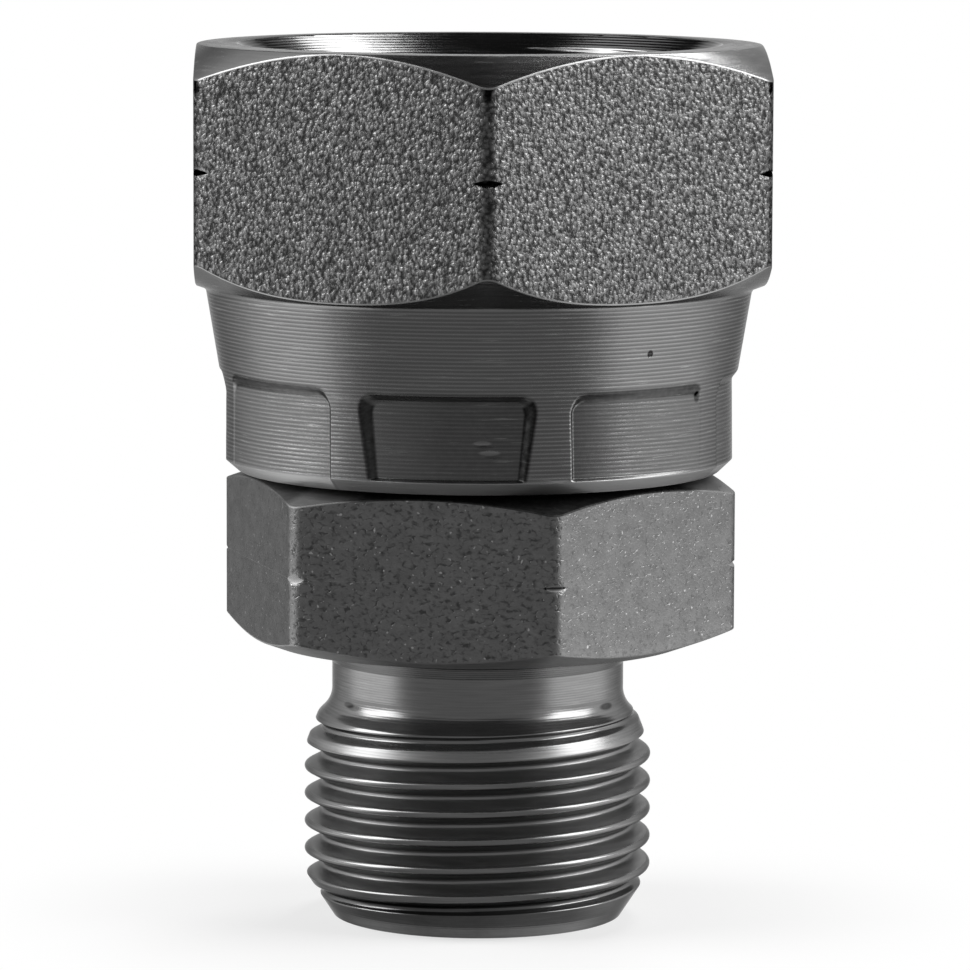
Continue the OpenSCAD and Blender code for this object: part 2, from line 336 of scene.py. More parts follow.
def columns(count, *clusters):
    """Angles of the columns: even ones, and finer ones in clusters of (centres, (half width, step))."""
    angles = set(np.round(even(count), 4))
    for centres, (half_width, step) in clusters:
        for centre in centres:
            offsets = np.arange(-half_width, half_width + step / 2, step)
            angles |= set(np.round((centre + offsets) % 360, 4))
    ordered = np.array(sorted(angles))
    return ordered[np.append(np.diff(ordered) > CLOSEST_COLUMNS, True)]


def section(angles, rows, shift=0, kind=0, kinds=None):
    """A stretch of a turned piece: columns at the angles, rows of radii and heights, and the kinds of faces.
    The last column joins the first one so many rows higher as the shift says."""
    width = len(angles)
    radii = np.array([np.broadcast_to(r, width) for r, _ in rows], float)
    heights = np.array([np.broadcast_to(z, width) for _, z in rows], float)
    return {"angles": np.radians(angles), "r": radii, "z": heights, "shift": shift,
            "kinds": kinds or [kind] * (len(rows) - 1)}


def stitch(low_ids, low_angles, high_ids, high_angles):
    """Triangles between two rings of vertices that have different columns."""
    faces = []
    i = j = 0
    low_n, high_n = len(low_ids), len(high_ids)
    while i < low_n or j < high_n:
        low_next = low_angles[(i + 1) % low_n] + (FULL_TURN if i + 1 >= low_n else 0)
        high_next = high_angles[(j + 1) % high_n] + (FULL_TURN if j + 1 >= high_n else 0)
        if j >= high_n or (i < low_n and low_next <= high_next):
            faces.append((low_ids[i % low_n], low_ids[(i + 1) % low_n], high_ids[j % high_n]))
            i += 1
        else:
            faces.append((low_ids[i % low_n], high_ids[(j + 1) % high_n], high_ids[j % high_n]))
            j += 1
    return faces


def section_faces(ids, shift):
    """Rows of quads between the vertices of a section."""
    rows, cols = ids.shape
    for j in range(rows - 1):
        row = [(ids[j, i], ids[j, i + 1], ids[j + 1, i + 1], ids[j + 1, i]) for i in range(cols - 1)]
        low = min(max(j + shift, 0), rows - 1)
        high = min(max(j + 1 + shift, 0), rows - 1)
        row.append((ids[j, -1], ids[low, 0], ids[high, 0], ids[j + 1, -1]))
        yield row


def turned_mesh(name, sections, materials):
    """One closed mesh from sections that follow each other round its outline."""
    points, faces, kinds, grids = [], [], [], []
    for part in sections:
        ids = len(points) + np.arange(part["r"].size).reshape(part["r"].shape)
        x = part["r"] * np.cos(part["angles"])
        y = part["r"] * np.sin(part["angles"])
        points.extend(np.stack([x, y, part["z"]], axis=-1).reshape(-1, 3).tolist())
        grids.append(ids)
        for row, kind in zip(section_faces(ids, part["shift"]), part["kinds"]):
            faces.extend(row)
            kinds.extend([kind] * len(row))
    for k, ids in enumerate(grids):
        after = (k + 1) % len(grids)
        joined = stitch(ids[-1], sections[k]["angles"], grids[after][0], sections[after]["angles"])
        faces.extend(joined)
        kinds.extend([0] * len(joined))
    mesh = bpy.data.meshes.new(name)
    work = bmesh.new()
    corners = [work.verts.new(Vector(p) * MM) for p in points]
    for face, kind in zip(faces, kinds):
        distinct = list(dict.fromkeys(int(i) for i in face))
        if len(distinct) > 2:
            made = work.faces.new([corners[i] for i in distinct])
            made.material_index = kind
            made.smooth = True
    bmesh.ops.remove_doubles(work, verts=work.verts, dist=MM * MERGE_DISTANCE)
    bmesh.ops.dissolve_degenerate(work, edges=work.edges, dist=MM * MERGE_DISTANCE)
    work.to_mesh(mesh)
    work.free()
    piece = bpy.data.objects.new(name, mesh)
    bpy.context.scene.collection.objects.link(piece)
    for material in materials:
        mesh.materials.append(material)
    weighted = piece.modifiers.new("even_flats", "WEIGHTED_NORMAL")
    weighted.mode = "FACE_AREA"
    weighted.weight = 100
    return piece


def paint(piece, name, value_at):
    """Keep a value for each vertex, worked out from its angle, radius and height."""
    count = len(piece.data.vertices)
    flat = np.empty(count * 3)
    piece.data.vertices.foreach_get("co", flat)
    x, y, z = flat.reshape(count, 3).T / MM
    values = value_at(np.degrees(np.arctan2(y, x)), np.hypot(x, y), z)
    kept = piece.data.attributes.new(name, "FLOAT", "POINT")
    kept.data.foreach_set("value", values.astype(np.float32))


def hexagon_radius(angles, spec):
    """Distance from the axis to a hexagon with rounded corners."""
    off_corner = np.abs(np.radians((np.asarray(angles) - spec["turn"] + 30) % 60 - 30))
    flat_r = spec["af"] / 2 / np.cos(math.pi / 6 - off_corner)
    centre_r = (spec["af"] / 2 - spec["corner"]) / math.cos(math.pi / 6)
    tangent = math.atan2(spec["corner"] / 2, centre_r + spec["corner"] * math.cos(math.pi / 6))
    inside = np.maximum(spec["corner"] ** 2 - (centre_r * np.sin(off_corner)) ** 2, 0)
    corner_r = centre_r * np.cos(off_corner) + np.sqrt(inside)
    return np.where(off_corner < tangent, corner_r, flat_r)


def hexagon_rows(angles, spec):
    """Rows of a turned hexagon from its lower face to its upper face, and the kind of face above each:
    1 for the flats, 0 for what a lathe has cut."""
    side = hexagon_radius(angles, spec)
    low_arc = spec["low"] + spec["low_rise"] * (side - spec["low_r"]) ** spec["low_power"]
    top_arc = spec["top"] - (side - spec["top_r"]) * math.tan(math.radians(spec["top_slope"]))
    low_face = rounded([
        (spec["low_r"] - spec["low_from"][0], spec["low"] - spec["low_from"][1], 0),
        (spec["low_r"], spec["low"], spec["low_edge"]),
        (side, low_arc, EDGE),
        (side, low_arc + NEAR_CHAMFER, 0),
    ])
    flare = NICK_HALF_H / (side.max() - spec["nick_r"])
    nick_h = np.maximum(side - spec["nick_r"], 0) * flare + NICK_FLOOR_HALF_H
    nick = [
        (side, spec["nick"] - nick_h - NEAR_NICK),
        (side, spec["nick"] - nick_h),
        (np.minimum(side, spec["nick_r"]), spec["nick"]),
        (side, spec["nick"] + nick_h),
        (side, spec["nick"] + nick_h + NEAR_NICK),
    ]
    top_face = rounded([
        (side, top_arc - NEAR_CHAMFER, 0),
        (side, top_arc, spec["top_edge"]),
        (spec["top_r"], spec["top"], 2 * EDGE),
        (spec["top_r"] - END_RING_W, spec["top"], 0),
    ])
    rows = low_face + nick + top_face
    turned = 2 * (ARC_STEPS + 1)
    kinds = [0] * turned + [1] * (len(rows) - 1 - 2 * turned) + [0] * turned
    nick_row = len(low_face) + 1
    kinds[nick_row] = kinds[nick_row + 1] = 0
    return rows, kinds


def thread_profile(offset, pitch):
    """Height of a rounded pipe thread over its root, at an offset from the middle of the crest."""
    u = np.abs((offset / pitch + 0.5) % 1 - 0.5) * pitch
    depth = THREAD_DEPTH * pitch
    small = THREAD_ROUND * pitch
    arc_half = small * math.cos(FLANK)
    crest = depth - small + np.sqrt(np.maximum(small ** 2 - u ** 2, 0))
    from_root = pitch / 2 - u
    root = small - np.sqrt(np.maximum(small ** 2 - from_root ** 2, 0))
    crest_end = depth - small + small * math.sin(FLANK)
    flank = crest_end - (u - arc_half) / math.tan(FLANK)
    return np.where(u < arc_half, crest, np.where(from_root < arc_half, root, flank))


def soft_min(a, b, blend=0.06):
    """The lower of two values, with a small round where they meet."""
    h = np.clip(0.5 + 0.5 * (b - a) / blend, 0, 1)
    return b * (1 - h) + a * h - blend * h * (1 - h)


def helix_rows(angles, low, high, pitch, radius_at):
    """Rows that climb with a right-hand thread between two heights, and are cut level at both ends."""
    rows = []
    climb = pitch * np.asarray(angles) / 360
    count = int((high - low + pitch) / pitch * ROWS_PER_PITCH) + 2
    for j in range(count):
        z = np.clip(low - pitch + j * pitch / ROWS_PER_PITCH + climb, low, high)
        rows.append((radius_at(z, climb), z))
    return rows


def run_out_radius(z):
    """The undercut's lower end: a fillet that grows out into a slow cone, where the thread runs out."""
    below = np.maximum(RUN_OUT_TOP - z, 0)
    reach = RUN_OUT_FILLET * math.sin(math.pi / 4)
    inside = np.maximum(RUN_OUT_FILLET ** 2 - np.minimum(below, reach) ** 2, 0)
    flare = NECK_R + RUN_OUT_FILLET - np.sqrt(inside) + np.maximum(below - reach, 0)
    return soft_min(flare, RUN_OUT_R + (RUN_OUT_Z - z) * RUN_OUT_SLOPE)


def male_thread_radius(z, climb):
    """Surface of the stud: its thread, cut by the lead-in chamfer and the run-out."""
    root_r = STUD_R - THREAD_DEPTH * MALE_PITCH
    thread = root_r + thread_profile(z - climb - MALE_CREST_AT, MALE_PITCH)
    lead_in = STUD_FACE_R + z * (STUD_R - STUD_FACE_R) / STUD_CHAMFER
    return soft_min(soft_min(thread, lead_in), run_out_radius(z))


def female_thread_radius(z, climb):
    """Surface of the mouth: its thread between the countersink and the relief."""
    depth = THREAD_DEPTH * FEMALE_PITCH
    thread = FEMALE_MINOR_R + depth - thread_profile(z - climb, FEMALE_PITCH)
    countersink = MOUTH_R - (NUT_TOP - z) * MOUTH_SLOPE
    relief = RELIEF_R - np.maximum(z - FEMALE_LOW, 0)
    return np.maximum(np.maximum(thread, countersink), relief)


def pad_place(angles, z):
    """For each angle, the number of the nearest crimping pad, the share of the way across it, the
    distances past its side and past its top, the width of its wall, and 1 if it has a rim."""
    step = 360 / len(PADS)
    turned = np.asarray(angles) - NUT_TURN - PAD_TURN
    nearest = np.round(turned / step).astype(int)
    number = nearest % len(PADS)
    shift, half_top, half_low, _, _, side_wall, lower, has_rim = np.array(PADS)[number].T
    along = np.radians(turned - nearest * step - shift) * COLLAR_R
    up = z - NUT_LOW
    up_share = np.clip(up / PAD_TOP, 0, 1)
    half_w = half_low + (half_top - half_low) * up_share
    share = np.clip(0.5 + along / half_w / 2, 0, 1)
    past_side = np.abs(along) - half_w
    past_top = up - PAD_TOP + lower
    at_top = np.clip(0.5 + (past_top - past_side) / PAD_WALL_TURN, 0, 1)
    side_wall = side_wall * (PAD_LOW_WALL_SHARE + (1 - PAD_LOW_WALL_SHARE) * up_share)
    wall = side_wall + (PAD_WALL_TOP - side_wall) * at_top
    return number, share, past_side, past_top, wall, has_rim


def pad_distance(past_side, past_top):
    """Distance to the pad's outline, which has rounded upper corners, and below 0 inside it."""
    across = past_side + PAD_CORNER
    above = past_top + PAD_CORNER
    outside = np.hypot(np.maximum(across, 0), np.maximum(above, 0))
    return outside + np.minimum(np.maximum(across, above), 0) - PAD_CORNER


def off_rim(z, has_rim):
    """0 on the rim below a pad and 1 above it."""
    return 1 - has_rim * (1 - np.clip((z - COLLAR_LOW - PAD_RIM[0]) / PAD_RIM[1], 0, 1))


def pad_mask(angles, z):
    """1 on the floor of a crimping pad, 0 outside, with a sloping wall between them and a rim below."""
    past_side, past_top, wall, has_rim = pad_place(angles, z)[2:]
    t = np.clip(0.5 - pad_distance(past_side, past_top) / wall, 0, 1)
    return t * t * (3 - 2 * t) * off_rim(z, has_rim)


def pad_depth(angles, z):
    """Depth of the nearest pad's floor below the collar."""
    number, share = pad_place(angles, z)[:2]
    left, right = np.array(PADS)[number].T[3:5]
    up_share = np.minimum((z - NUT_LOW) / PAD_TOP, 1)
    return (left + (right - left) * share) * (PAD_LOW_DEPTH_SHARE + (1 - PAD_LOW_DEPTH_SHARE) * up_share)


def padded_row(angles, r, z):
    """A row of the skirt, pressed in where a pad is."""
    floor = COLLAR_R - pad_depth(angles, z)
    return np.where(r > floor, r + (floor - r) * pad_mask(angles, z), r), np.full(len(angles), z)


def skirt_rows(angles):
    """Outside of the nut's skirt: end chamfer, collar with its pads, soft bend and cone."""
    outline = rounded([
        (COLLAR_END_R - 0.4, NUT_LOW, 0),
        (COLLAR_END_R, NUT_LOW, EDGE),
        (COLLAR_R, COLLAR_LOW, EDGE),
        (COLLAR_R, COLLAR_TOP, COLLAR_BEND),
        (SKIRT_R, NUT_HEX_LOW, 0),
    ])
    pad_top = NUT_LOW + PAD_TOP
    heights = np.concatenate([
        np.arange(COLLAR_LOW + 0.06, COLLAR_LOW + 0.2, RIM_ROWS),
        np.arange(COLLAR_LOW + 0.3, pad_top - 1, FLOOR_ROWS),
        np.arange(pad_top - 1, pad_top + 0.4, PAD_TOP_ROWS),
        np.arange(pad_top + 0.6, NUT_HEX_LOW - 0.8, CONE_ROWS),
    ])
    end_rows = ARC_STEPS * 2 + 3
    rows = [padded_row(angles, float(r), float(z)) for r, z in outline[:end_rows]]
    side_r, side_z = np.array(outline[end_rows - 1:], float).T
    for z in heights:
        rows.append(padded_row(angles, np.interp(z, side_z, side_r), z))
    return rows


def azimuth_of(angles):
    """Azimuth from the camera's side of a place at an angle, to the right."""
    return (angles + 90 - VIEW_AZIMUTH + 180) % 360 - 180


def by_azimuth(angles, table):
    """Value at the azimuth of each angle, from a table of (azimuth, value)."""
    return np.interp(azimuth_of(angles), *zip(*table))


def off_corner(angles, r, spec):
    """Distance from the nearest corner of a hexagon, along its outline."""
    return np.abs(np.radians((angles - spec["turn"] + 30) % 60 - 30)) * r


def on_collar(r, z):
    """Whether a place is on the outside of the collar."""
    return (z < NUT_LOW + PAD_TOP + 0.5) & (r > COLLAR_R - 0.8)


def pad_wear(angles, r, z):
    """1 on the pads' floors, 0 off them."""
    return pad_mask(angles, z) * on_collar(r, z)


def pad_walls(angles, r, z):
    """1 halfway up the walls of the deeper pads, 0 off them."""
    mask = pad_mask(angles, z)
    return 4 * mask * (1 - mask) * on_collar(r, z) * np.minimum(pad_depth(angles, z) / SHALLOW_PAD, 1)


def nut_dull_and_painted_light(angles, r, z):
    """Dull chamfer at the nut's lower end, also lighter in colour as painted light."""
    return CHAMFER_DULL_AND_LIGHT * np.clip((COLLAR_LOW + 0.03 - z) / 0.05, 0, 1) * (r > COLLAR_END_R - 0.2)


def nut_painted_shade(angles, r, z):
    """Painted shade on the nut: walls of its pads, the floors of some, the corner nicks and the top's left.
    """
    number, share, past_side, past_top, wall, has_rim = pad_place(angles, z)
    # Painted shade along the walls of the pads
    off_wall = np.abs(pad_distance(past_side, past_top)) - wall / 2
    near = np.clip((WALL_SHADE_PAST - off_wall) / WALL_SHADE_FADE, 0, 1)
    at_top = np.clip(0.5 + (past_top - past_side) / WALL_SHADE_TURN, 0, 1)
    left, right, top = np.array(PAD_WALL_SHADE)[number].T
    side = np.where(share < 0.5, left, right)
    wall_shade = near * (side + (top - side) * at_top) * off_rim(z, has_rim)
    # Painted shade on the pads' floors, by azimuth
    floor = by_azimuth(angles, PAD_FLOOR_SHADE) * pad_mask(angles, z)
    nick_h, nick_w = NUT_NICK_SHADE
    # Painted shade in the corner nicks
    nick = (np.abs(z - NUT_HEX["nick"]) < nick_h) & (off_corner(angles, r, NUT_HEX) < nick_w) & (r > SKIRT_R)
    # Painted shade on the left of the nut's top, by azimuth
    chamfer = by_azimuth(angles, NUT_CHAMFER_SHADE) * (z > NUT_HEX["nick"] + 1)
    return np.maximum(np.maximum(wall_shade, floor) * on_collar(r, z), np.maximum(nick, chamfer))


def body_painted_shade(angles, r, z):
    """Painted shade on the body: the stud's end, the hexagon's chamfers and one corner nick."""
    # Painted shade on the stud's end, by azimuth
    end_shade = by_azimuth(angles, STUD_END_SHADE) * np.clip((STUD_END_TOP - z) / 0.4, 0, 1) * (r > MALE_SEAT_R)
    # Painted shade in one corner nick
    nick_h, nick_w = BODY_NICK_SHADE
    off_nick = np.abs(np.radians((angles - DARK_BODY_NICK + 180) % 360 - 180)) * r
    nick = (np.abs(z - BODY_HEX["nick"]) < nick_h) & (off_nick < nick_w) & (r > STEM_R)
    # Painted shade on the hexagon's chamfers, by azimuth
    top = by_azimuth(angles, BODY_TOP_SHADE) * (z > BODY_HEX["nick"] + 1) * (z < BODY_TOP + 0.05)
    low = by_azimuth(angles, BODY_LOW_SHADE) * (z > BODY_LOW - 0.05) * (z < BODY_HEX["nick"] - 1)
    return np.maximum(np.maximum(end_shade, nick), np.maximum(top, low) * (r > BODY_HEX["low_r"] - 0.2))


def body_pits(angles, r, z):
    """Darkness of the pits in the flats."""
    azimuth = azimuth_of(angles)
    return PITS_DARK + FRONT_PITS_MORE * ((azimuth > FRONT_FLAT[0]) & (azimuth < FRONT_FLAT[1]))


def body_dull_and_painted_light(angles, r, z):
    """Grooves of the stud's thread are a little duller than its crests, and a little lighter in colour as
    painted light.
    """
    off_ends = np.clip((GROOVE_DULL_TOP - z) / 0.8, 0, 1) * np.clip((z - GROOVE_DULL_LOW) / 0.5, 0, 1)
    return GROOVE_DULL_AND_LIGHT * np.clip((STUD_R - 0.1 - r) / 0.12, 0, 1) * off_ends * (r > STUD_FACE_R)


def make_nut(turned, flat, inside):
    """The swivel nut, with its pads, hexagon, thread and inner steps."""
    corners = NUT_TURN + np.arange(6) * 60
    shifts, half_top, half_low = np.array(PADS).T[:3]
    centres = NUT_TURN + PAD_TURN + shifts + even(len(PADS))
    half_angles = np.degrees((half_top + half_low) / 2 / COLLAR_R)
    pad_sides = np.concatenate([centres - half_angles, centres + half_angles])
    outer = columns(NUT_COLUMNS, (corners, NUT_CORNER_COLUMNS), (pad_sides, PAD_SIDE_COLUMNS))
    inner = even(INNER_COLUMNS)
    skirt = skirt_rows(outer)
    hexagon, kinds = hexagon_rows(outer, NUT_HEX)
    thread = helix_rows(inner, FEMALE_LOW, NUT_TOP, FEMALE_PITCH, female_thread_radius)
    below = rounded([
        (RELIEF_R, FEMALE_LOW - 0.1, 0),
        (RELIEF_R, LEDGE, EDGE),
        (SKIRT_BORE_R, LEDGE, 0),
        (SKIRT_BORE_R, LIP_TOP + SKIRT_BORE_R - LIP_R, SOFT_EDGE),
        (LIP_R, LIP_TOP, SOFT_EDGE),
        (LIP_R, NUT_LOW + LIP_LEAD_IN, EDGE),
        (LIP_R + LIP_LEAD_IN, NUT_LOW, 0),
    ])
    nut = turned_mesh("swivel_nut_finished", [
        section(outer, skirt + hexagon, kinds=[0] * len(skirt) + kinds),
        section(inner, thread[::-1], shift=-ROWS_PER_PITCH, kind=2),
        section(inner, below, kind=2),
    ], [turned, flat, inside])
    paint(nut, "painted_shade", nut_painted_shade)
    paint(nut, "worn", pad_wear)
    paint(nut, "wall", pad_walls)
    paint(nut, "dull_and_painted_light", nut_dull_and_painted_light)
    paint(nut, "corner", lambda angles, r, z: off_corner(angles, r, NUT_HEX))
    return nut


def make_body(turned, flat, stud):
    """The adaptor's body, with its stud, neck, hexagon, stem, nose and bore."""
    round_columns = even(STUD_COLUMNS)
    hex_columns = columns(BODY_HEX_COLUMNS, (np.arange(6) * 60, BODY_CORNER_COLUMNS))
    thread = helix_rows(round_columns, 0.0, RUN_OUT_TOP, MALE_PITCH, male_thread_radius)
    neck = rounded([
        (NECK_R, RUN_OUT_TOP, 0),
        (NECK_R, NECK_KINK, 0.05),
        (NECK_R + NECK_FLARE[0], NECK_KINK + NECK_FLARE[1], 0.4),
        (NECK_R + NECK_FLARE_END, BODY_LOW, 0.5),
        (BODY_HEX["low_r"] - 0.6, BODY_LOW, 0),
    ], steps=6)
    hexagon, kinds = hexagon_rows(hex_columns, BODY_HEX)
    groove_low = RING_Z - GROOVE_HALF_W
    groove_top = RING_Z + GROOVE_HALF_W
    stem = rounded([
        (BODY_HEX["top_r"] - 0.6, BODY_TOP, 0),
        (STEM_R, BODY_TOP, 0),
        (STEM_R, FLANGE_LOW - FLANGE_R + STEM_R, SOFT_EDGE),
        (FLANGE_R, FLANGE_LOW, EDGE),
        (FLANGE_R, FLANGE_TOP, 0.25),
        (NOSE_BASE_R, FLANGE_TOP, EDGE),
        (NOSE_BASE_R - (groove_low - FLANGE_TOP) * SEAT_SLOPE, groove_low, EDGE),
        (GROOVE_FLOOR_R, groove_low, EDGE),
        (GROOVE_FLOOR_R, groove_top, EDGE),
        (NOSE_BASE_R - (groove_top - FLANGE_TOP) * SEAT_SLOPE, groove_top, EDGE),
        (NOSE_TIP_R, NOSE_TIP, 0.25),
        (NOSE_BORE_R, NOSE_TIP, 0.2),
        (NOSE_BORE_R, NOSE_BORE_LOW, 0),
        (MALE_BORE_R, NOSE_BORE_LOW - (NOSE_BORE_R - MALE_BORE_R) / DRILL_SLOPE, 0),
        (MALE_BORE_R, (MALE_SEAT_R - MALE_BORE_R) / SEAT_SLOPE, EDGE),
        (MALE_SEAT_R, 0.0, 0.08),
        (STUD_FACE_INNER_R, 0.0, 0),
    ])
    body = turned_mesh("adapter_body_finished", [
        section(round_columns, thread, shift=ROWS_PER_PITCH, kind=2),
        section(round_columns, neck, kind=2),
        section(hex_columns, hexagon, kinds=kinds),
        section(even(STEM_COLUMNS), stem),
    ], [turned, flat, stud])
    paint(body, "painted_shade", body_painted_shade)
    paint(body, "dull_and_painted_light", body_dull_and_painted_light)
    paint(body, "pits", body_pits)
    return body


def make_ring(rubber):
    """The sealing ring of the nose."""
    turns = [FULL_TURN * k / RING_SECTION_STEPS for k in range(RING_SECTION_STEPS + 1)]
    rows = [(RING_R + RING_SECTION_R * math.cos(a), RING_Z + RING_SECTION_R * math.sin(a)) for a in turns]
    return turned_mesh("nose_o_ring_finished", [section(even(RING_COLUMNS), rows)], [rubber])


class Nodes:
    """A node tree, filled by short calls."""

    def __init__(self, tree):
        self.tree = tree

    def add(self, kind, inputs=None, **settings):
        """Make a node with its inputs and settings."""
        node = self.tree.nodes.new(kind)
        for key, value in settings.items():
            setattr(node, key, value)
        for key, value in (inputs or {}).items():
            self.put(node, key, value)
        return node

    def put(self, node, key, value):
        """Link a socket to an input of a node, or set the input to a plain value."""
        if isinstance(value, bpy.types.NodeSocket):
            self.tree.links.new(value, node.inputs[key])
        else:
            node.inputs[key].default_value = value

    def math(self, operation, *values, clamp=False):
        node = self.add("ShaderNodeMath", dict(enumerate(values)), operation=operation, use_clamp=clamp)
        return node.outputs[0]

    def plus(self, a, b, clamp=False):
        return self.math("ADD", a, b, clamp=clamp)

    def minus(self, a, b, clamp=False):
        return self.math("SUBTRACT", a, b, clamp=clamp)

    def times(self, a, b, clamp=False):
        return self.math("MULTIPLY", a, b, clamp=clamp)

    def seen(self):
        """1 where the camera, metal or glass looks, and 0 for all other light."""
        path = self.add("ShaderNodeLightPath").outputs
        seen = self.plus(path["Is Camera Ray"], path["Is Glossy Ray"], clamp=True)
        return self.plus(seen, path["Is Transmission Ray"], clamp=True)


class Shader(Nodes):
    """A material's nodes."""

    def __init__(self, name):
        self.material = bpy.data.materials.new(name)
        self.material.use_nodes = True
        super().__init__(self.material.node_tree)
        self.surface = self.tree.nodes["Principled BSDF"]

    def here(self):
        return self.add("ShaderNodeTexCoord").outputs["Object"]

    def place(self, scale=(1, 1, 1)):
        return self.add("ShaderNodeMapping", {"Vector": self.here(), "Scale": scale}).outputs[0]

    def noise(self, vector, scale, detail=2.0, roughness=0.5, distortion=0.0):
        node = self.add("ShaderNodeTexNoise", {
            "Vector": vector, "Scale": scale, "Detail": detail, "Roughness": roughness,
            "Distortion": distortion,
        })
        return node.outputs[0]

    def ramp(self, value, *stops):
        """Greys between stops of (value, grey)."""
        node = self.add("ShaderNodeValToRGB", {"Fac": value})
        elements = node.color_ramp.elements
        while len(elements) < len(stops):
            elements.new(0.5)
        for element, (position, grey) in zip(elements, stops):
            element.position = position
            element.color = (grey, grey, grey, 1)
        return node.outputs[0]

    def bump(self, height, distance):
        return self.add("ShaderNodeBump", {"Height": height, "Distance": distance}).outputs[0]

    def kept(self, name):
        """A value kept on the mesh, or 0 where the mesh has none."""
        return self.add("ShaderNodeAttribute", attribute_name=name).outputs["Fac"]

    def window(self, value, low, high):
        """0 below low, 1 above high, and a soft step between them."""
        limits = {"Value": value, "From Min": low, "From Max": high}
        return self.add("ShaderNodeMapRange", limits, interpolation_type="SMOOTHSTEP").outputs[0]

    def vector(self, operation, *values):
        return self.add("ShaderNodeVectorMath", dict(enumerate(values)), operation=operation).outputs[0]

    def length(self, vector):
        return self.add("ShaderNodeVectorMath", {0: vector}, operation="LENGTH").outputs["Value"]

    def mark(self, here, azimuth, radius, height, size):
        """1 in a small spot of the surface, 0 outside it. Sizes are half widths along and up."""
        off = self.vector("SUBTRACT", here, around_view(azimuth, radius, height))
        per_size = (1 / (size[0] * MM), 1 / (size[0] * MM), 1 / (size[1] * MM))
        far = self.length(self.vector("MULTIPLY", off, per_size))
        return self.minus(1.0, self.window(far, 0.5, 1.0))

    def darker(self, colour, share):
        """The colour, less the given share of it."""
        keep = self.minus(1.0, share, clamp=True)
        return self.add("ShaderNodeVectorMath", {0: colour, "Scale": keep}, operation="SCALE").outputs[0]

    def lighter(self, colour, grey):
        """The colour with a grey added."""
        return self.vector("ADD", colour, grey)

    def finish(self, colour, roughness, normal=None, metallic=1.0):
        """Set the surface, and give back the material."""
        values = {"Base Color": colour, "Roughness": roughness, "Metallic": metallic}
        if normal:
            values["Normal"] = normal
        for key, value in values.items():
            self.put(self.surface, key, value)
        self.surface.inputs["Specular Tint"].default_value = (GRAZING_TINT, GRAZING_TINT, GRAZING_TINT, 1)
        return self.material

    def show(self, shader):
        """Make another shader the material's surface, and keep it from being sampled as a lamp."""
        self.tree.links.new(shader, self.tree.nodes["Material Output"].inputs["Surface"])
        self.material.cycles.emission_sampling = "NONE"


def grained_steel(name, pit, dark, pale, grain, depth, rough):
    """Plated flats with a coarse orange-peel grain. Their corners are dark, with a ragged edge."""
    s = Shader(name)
    here = s.place()
    per_grain = 1 / (grain * MM)
    warp = s.noise(here, per_grain * 0.5, detail=2.0)
    lumps = s.noise(here, per_grain, detail=2.0, roughness=0.55, distortion=0.4)
    cells = s.add("ShaderNodeTexVoronoi", {"Vector": here, "Scale": per_grain * 0.9, "Smoothness": 0.25},
                  feature="SMOOTH_F1").outputs[0]
    fine = s.noise(here, per_grain * 2.4, detail=2.0)
    height = s.plus(s.times(lumps, 1.2), s.times(cells, -0.8))
    height = s.plus(height, s.times(fine, 0.4))
    tone = s.plus(s.times(height, 0.9), s.times(warp, 0.25))
    colour = s.ramp(tone, (0.30, pit), (0.48, dark), (0.76, pale))
    ragged = s.plus(s.plus(s.kept("corner"), s.times(warp, -0.9)), 0.45)
    at_corner = s.minus(1.0, s.window(ragged, 0.1, 0.3))
    up = s.add("ShaderNodeSeparateXYZ", {"Vector": here}).outputs[2]
    at_top = s.window(up, DARK_CORNER_TOP[0] * MM, DARK_CORNER_TOP[1] * MM)
    share = s.plus(s.times(at_corner, 0.45), s.times(s.times(at_corner, at_top), 0.5))
    roughness = s.plus(s.times(fine, 0.25), rough - 0.12)
    return s.finish(s.darker(colour, share), roughness, s.bump(height, depth * MM))


def pitted_steel(name, tone, pit, depth, rough):
    """Plated flats of drawn bar: soft pits and lumps, with a few bright specks of painted glint."""
    s = Shader(name)
    here = s.place(scale=(1, 1, 1.4))
    field = s.noise(here, 1 / (pit * MM), detail=1.0, roughness=0.5, distortion=0.5)
    pits = s.window(field, 0.46, 0.76)
    clouds = s.noise(here, 1 / (0.9 * MM), detail=3.0)
    fine = s.noise(here, 1 / (0.13 * MM), detail=3.0, roughness=0.6)
    specks = s.window(s.noise(s.place(), 1 / (0.17 * MM), detail=0.0), 0.79, 0.85)
    height = s.plus(s.times(pits, -1.1), s.times(fine, 0.75))
    tones = s.plus(s.times(fine, 0.5), s.times(clouds, 0.5))
    colour = s.ramp(tones, (0.35, tone * 0.84), (0.65, tone * 1.18))
    colour = s.darker(colour, s.times(pits, s.kept("pits")))
    # Painted glints: the specks are lighter in colour
    colour = s.lighter(colour, s.times(specks, 0.3))
    return s.finish(colour, rough, s.bump(height, depth * MM))


